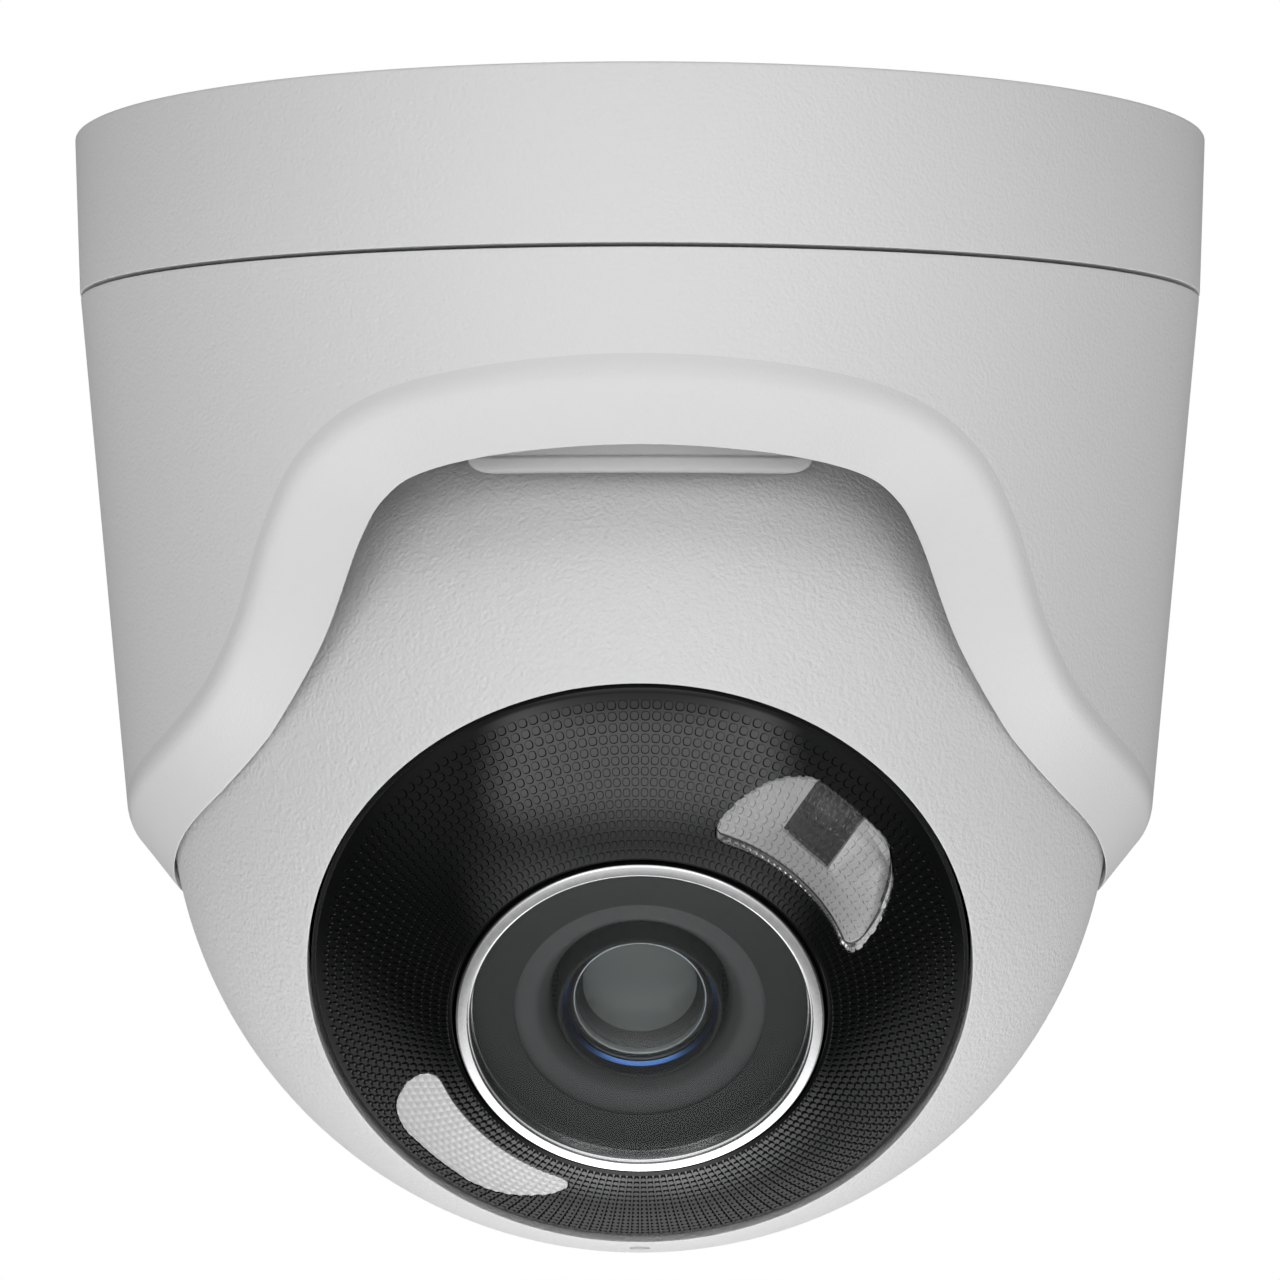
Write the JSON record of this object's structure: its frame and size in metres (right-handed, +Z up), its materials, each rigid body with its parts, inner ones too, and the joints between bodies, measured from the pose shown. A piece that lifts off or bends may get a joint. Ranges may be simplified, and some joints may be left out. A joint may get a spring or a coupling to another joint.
{
  "type": "ceiling turret camera",
  "caption": "Ceiling turret camera: tapered drum housing with an arched opening, and a ball that pans, tilts and rolls, carrying a glazed lens in a black textured face with two light windows.",
  "frame": {"origin": "centre of the mounting face that lies against the ceiling", "axes": "+Z up into the ceiling, -Y out of the arched opening, the way the camera faces, +X to the right as seen from the front"},
  "size_m": [0.1102, 0.1102, 0.1082],
  "materials": {
    "white_plastic": "fine spark-eroded grain, matte",
    "dark_plastic": "satin black",
    "bezel_plastic": "gloss black with raised pads in rings",
    "clear_plastic": "clear, moulded with the same pads",
    "glass": "polished, coated",
    "chrome": "polished",
    "mirror": "bright metallised plastic",
    "steel": "zinc-plated, satin",
    "aluminium": "satin",
    "rubber": "matte black",
    "foam": "closed-cell foam",
    "circuit_board": "green solder mask",
    "chip": "matte black",
    "gold_film": "amber film",
    "phosphor": "yellow phosphor under clear resin",
    "cable": "matte light grey",
    "pad": "soft, matte"
  },
  "bodies": {
    "base": {"ceiling_bracket": "steel", "locking_screw": "steel", "base_shell": "white_plastic", "ceiling_seal": "foam", "cable_grommet": "rubber", "network_board": "circuit_board", "network_jack": "aluminium", "service_loop": "cable"},
    "turret": {"skirt": "white_plastic", "retaining_ring": "dark_plastic", "upper_socket": "white_plastic", "friction_liner": "dark_plastic", "skirt_screw_1": "steel", "skirt_screw_2": "steel", "skirt_screw_3": "steel"},
    "tilt_carrier": {"cable_boot": "rubber", "ball_lead": "cable"},
    "ball": {"ball_front_shell": "white_plastic", "ball_rear_shell": "white_plastic", "ball_seal": "rubber", "ball_screw_1": "steel", "ball_screw_2": "steel", "ball_screw_3": "steel", "face_bezel": "bezel_plastic", "upper_light_window": "clear_plastic", "lower_light_window": "clear_plastic", "lens_trim_ring": "chrome", "lens_window": "glass", "light_shield": "rubber", "lens_barrel": "dark_plastic", "lens_retainer": "dark_plastic", "front_lens": "glass", "middle_lens": "glass", "rear_lens": "glass", "lens_holder": "dark_plastic", "image_sensor": "chip", "sensor_board": "circuit_board", "chassis": "dark_plastic", "main_board": "circuit_board", "processor": "chip", "thermal_pad": "pad", "heat_spreader": "aluminium", "card_socket": "steel", "memory_card": "chip", "ribbon_cable": "gold_film", "microphone": "steel", "filter_motor": "steel", "upper_led_board": "circuit_board", "lower_led_board": "circuit_board", "upper_reflector": "mirror", "lower_reflector": "mirror", "infrared_led": "dark_plastic", "white_led": "phosphor"},
    "filter_arm": {"filter_arm": "dark_plastic"},
    "filter_frame": {"filter_frame": "dark_plastic", "infrared_cut_glass": "glass"}
  },
  "joints": [
    {"name": "pan", "type": "hinge", "parent": "base", "child": "turret", "pos_m": [0, 0, 0], "axis": [0, 0, 1], "range_deg": [-180, 180]},
    {"name": "tilt", "type": "hinge", "parent": "turret", "child": "tilt_carrier", "pos_m": [0, 0, -0.0622], "axis": [1, 0, 0], "range_deg": [-13.2, 61.8]},
    {"name": "roll", "type": "hinge", "parent": "tilt_carrier", "child": "ball", "pos_m": [0, 0, -0.0622], "axis": [0, -0.8813, -0.4726], "range_deg": [-180, 180]},
    {"name": "filter_swing", "type": "hinge", "parent": "ball", "child": "filter_arm", "pos_m": [0, -0.00614, -0.05074], "axis": [0, 0.8813, 0.4726], "range_deg": [0, 56.36]},
    {"name": "filter_slide", "type": "slide", "parent": "ball", "child": "filter_frame", "axis": [-1, 0, 0], "range_m": [0, 0.0075]}
  ],
  "couplings": [
    {"joint": "filter_swing", "follows": "filter_slide", "rad_per_m": 131.14}
  ]
}
